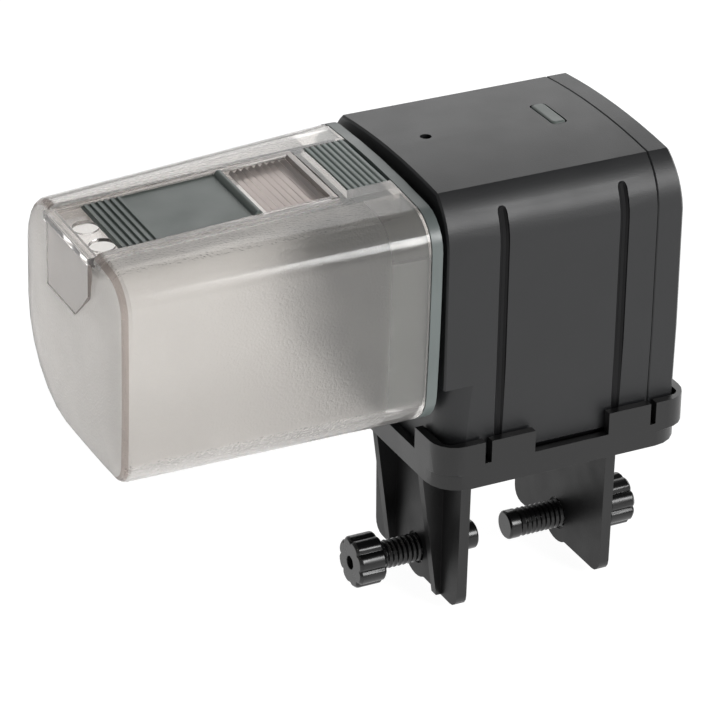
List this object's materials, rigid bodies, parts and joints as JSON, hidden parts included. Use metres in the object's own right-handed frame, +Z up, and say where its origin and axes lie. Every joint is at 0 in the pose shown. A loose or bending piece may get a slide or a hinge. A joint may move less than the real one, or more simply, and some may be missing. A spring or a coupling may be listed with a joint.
{
  "type": "automatic fish feeder",
  "caption": "Battery fish feeder: a turning smoky food drum on a black drive housing, held over a tank rim by a tray with two legs and thumbscrews",
  "frame": {"origin": "centre of the tray's underside, on the plane that rests on the tank rim", "axes": "+X from the drum towards the display end along the drum's axis, +Y towards the battery door, +Z up"},
  "size_m": [0.1725, 0.0762, 0.1352],
  "materials": {
    "black": "fine-textured charcoal black",
    "gloss_black": "smooth moulded black",
    "grey_green": "satin grey-green",
    "smoke": "frosted smoky transparent",
    "clear_smoke": "clear smoky transparent",
    "display": "dull reflective display",
    "window": "clear window",
    "steel": "bright plated",
    "brass": "machined",
    "bronze": "sintered",
    "acetal": "natural white",
    "board": "green solder resist",
    "led": "milky lens",
    "wrap": "plain grey wrap"
  },
  "bodies": {
    "bracket": {"clamp_bracket": "black"},
    "left_tip": {"left_screw_tip": "gloss_black"},
    "left_screw": {"left_thumbscrew": "gloss_black"},
    "right_tip": {"right_screw_tip": "gloss_black"},
    "right_screw": {"right_thumbscrew": "gloss_black"},
    "housing": {"main_housing": "black", "end_cap": "black", "case_screw_1": "steel", "case_screw_2": "steel", "case_screw_3": "steel", "case_screw_4": "steel", "control_board": "board", "display_module": "display", "display_window": "window", "status_lens": "grey_green", "status_led": "led", "air_duct": "black", "battery_tray": "black", "battery_cell_1": "wrap", "battery_cell_2": "wrap", "battery_contact_1": "steel", "battery_contact_2": "steel", "gearbox_plate": "black", "drive_motor": "steel", "shaft_bush": "bronze", "gear_pin_1": "steel", "gear_pin_2": "steel"},
    "battery_door": {"battery_cover": "black"},
    "set_key": {"set_button": "grey_green"},
    "mode_key": {"mode_button": "grey_green"},
    "feed_key": {"feed_button": "grey_green"},
    "output_shaft": {"output_gear": "acetal", "drive_coupling": "gloss_black"},
    "idler_1": {"idler_gear_1": "acetal"},
    "idler_2": {"idler_gear_2": "acetal"},
    "motor_shaft": {"motor_pinion": "brass"},
    "drum_end": {"drum_cap": "grey_green", "drive_socket": "gloss_black"},
    "drum": {"drum_shell": "smoke"},
    "latch": {"cap_latch": "grey_green"},
    "cover": {"fill_cover": "clear_smoke"},
    "gate": {"dose_gate": "grey_green"}
  },
  "joints": [
    {"name": "left_tip_advance", "type": "slide", "parent": "bracket", "child": "left_tip", "axis": [1, 0, 0], "range_m": [-0.016, 0.0035]},
    {"name": "left_screw_turn", "type": "hinge", "parent": "left_tip", "child": "left_screw", "pos_m": [-0.0253, 0, -0.0391], "axis": [1, 0, 0], "range_deg": [-3850, 850]},
    {"name": "right_tip_advance", "type": "slide", "parent": "bracket", "child": "right_tip", "axis": [1, 0, 0], "range_m": [-0.0035, 0.016]},
    {"name": "right_screw_turn", "type": "hinge", "parent": "right_tip", "child": "right_screw", "pos_m": [0.0253, 0, -0.0391], "axis": [1, 0, 0], "range_deg": [-850, 3850]},
    {"name": "housing_lift", "type": "slide", "parent": "bracket", "child": "housing", "axis": [0, 0, 1], "range_m": [0, 0.02]},
    {"name": "battery_door_pull", "type": "slide", "parent": "housing", "child": "battery_door", "axis": [0, 1, 0], "range_m": [0, 0.02]},
    {"name": "set_press", "type": "slide", "parent": "housing", "child": "set_key", "axis": [-1, 0, 0], "range_m": [0, 0.0005], "stiffness_N_per_m": 500},
    {"name": "mode_press", "type": "slide", "parent": "housing", "child": "mode_key", "axis": [-1, 0, 0], "range_m": [0, 0.0005], "stiffness_N_per_m": 500},
    {"name": "feed_press", "type": "slide", "parent": "housing", "child": "feed_key", "axis": [-1, 0, 0], "range_m": [0, 0.0005], "stiffness_N_per_m": 500},
    {"name": "drum_spin", "type": "hinge", "parent": "housing", "child": "output_shaft", "pos_m": [-0.0282, 0, 0.0508], "axis": [1, 0, 0], "continuous": true},
    {"name": "idler_1_turn", "type": "hinge", "parent": "housing", "child": "idler_1", "pos_m": [-0.0282, -0.0069, 0.03885], "axis": [1, 0, 0], "continuous": true},
    {"name": "idler_2_turn", "type": "hinge", "parent": "housing", "child": "idler_2", "pos_m": [-0.025, 0, 0.0269], "axis": [1, 0, 0], "continuous": true},
    {"name": "motor_turn", "type": "hinge", "parent": "housing", "child": "motor_shaft", "pos_m": [-0.0221, -0.01195, 0.02], "axis": [1, 0, 0], "continuous": true},
    {"name": "drum_pull_off", "type": "slide", "parent": "output_shaft", "child": "drum_end", "axis": [-1, 0, 0], "range_m": [0, 0.022]},
    {"name": "shell_pull_off", "type": "slide", "parent": "drum_end", "child": "drum", "axis": [-1, 0, 0], "range_m": [0, 0.02]},
    {"name": "latch_press", "type": "slide", "parent": "drum", "child": "latch", "axis": [0.0487, 0.0349, -0.9982], "range_m": [0, 0.001], "stiffness_N_per_m": 600},
    {"name": "cover_slide", "type": "slide", "parent": "drum", "child": "cover", "axis": [-0.9988, 0.0017, -0.0486], "range_m": [0, 0.06]},
    {"name": "gate_slide", "type": "slide", "parent": "cover", "child": "gate", "axis": [0.9988, -0.0017, 0.0486], "range_m": [-0.007, 0.0016]}
  ],
  "couplings": [
    {"joint": "left_screw_turn", "follows": "left_tip_advance", "rad_per_m": 4188.8},
    {"joint": "right_screw_turn", "follows": "right_tip_advance", "rad_per_m": 4188.8},
    {"joint": "idler_1_turn", "follows": "drum_spin", "ratio": -3.6},
    {"joint": "idler_2_turn", "follows": "drum_spin", "ratio": 12.96},
    {"joint": "motor_turn", "follows": "drum_spin", "ratio": -46.656}
  ]
}
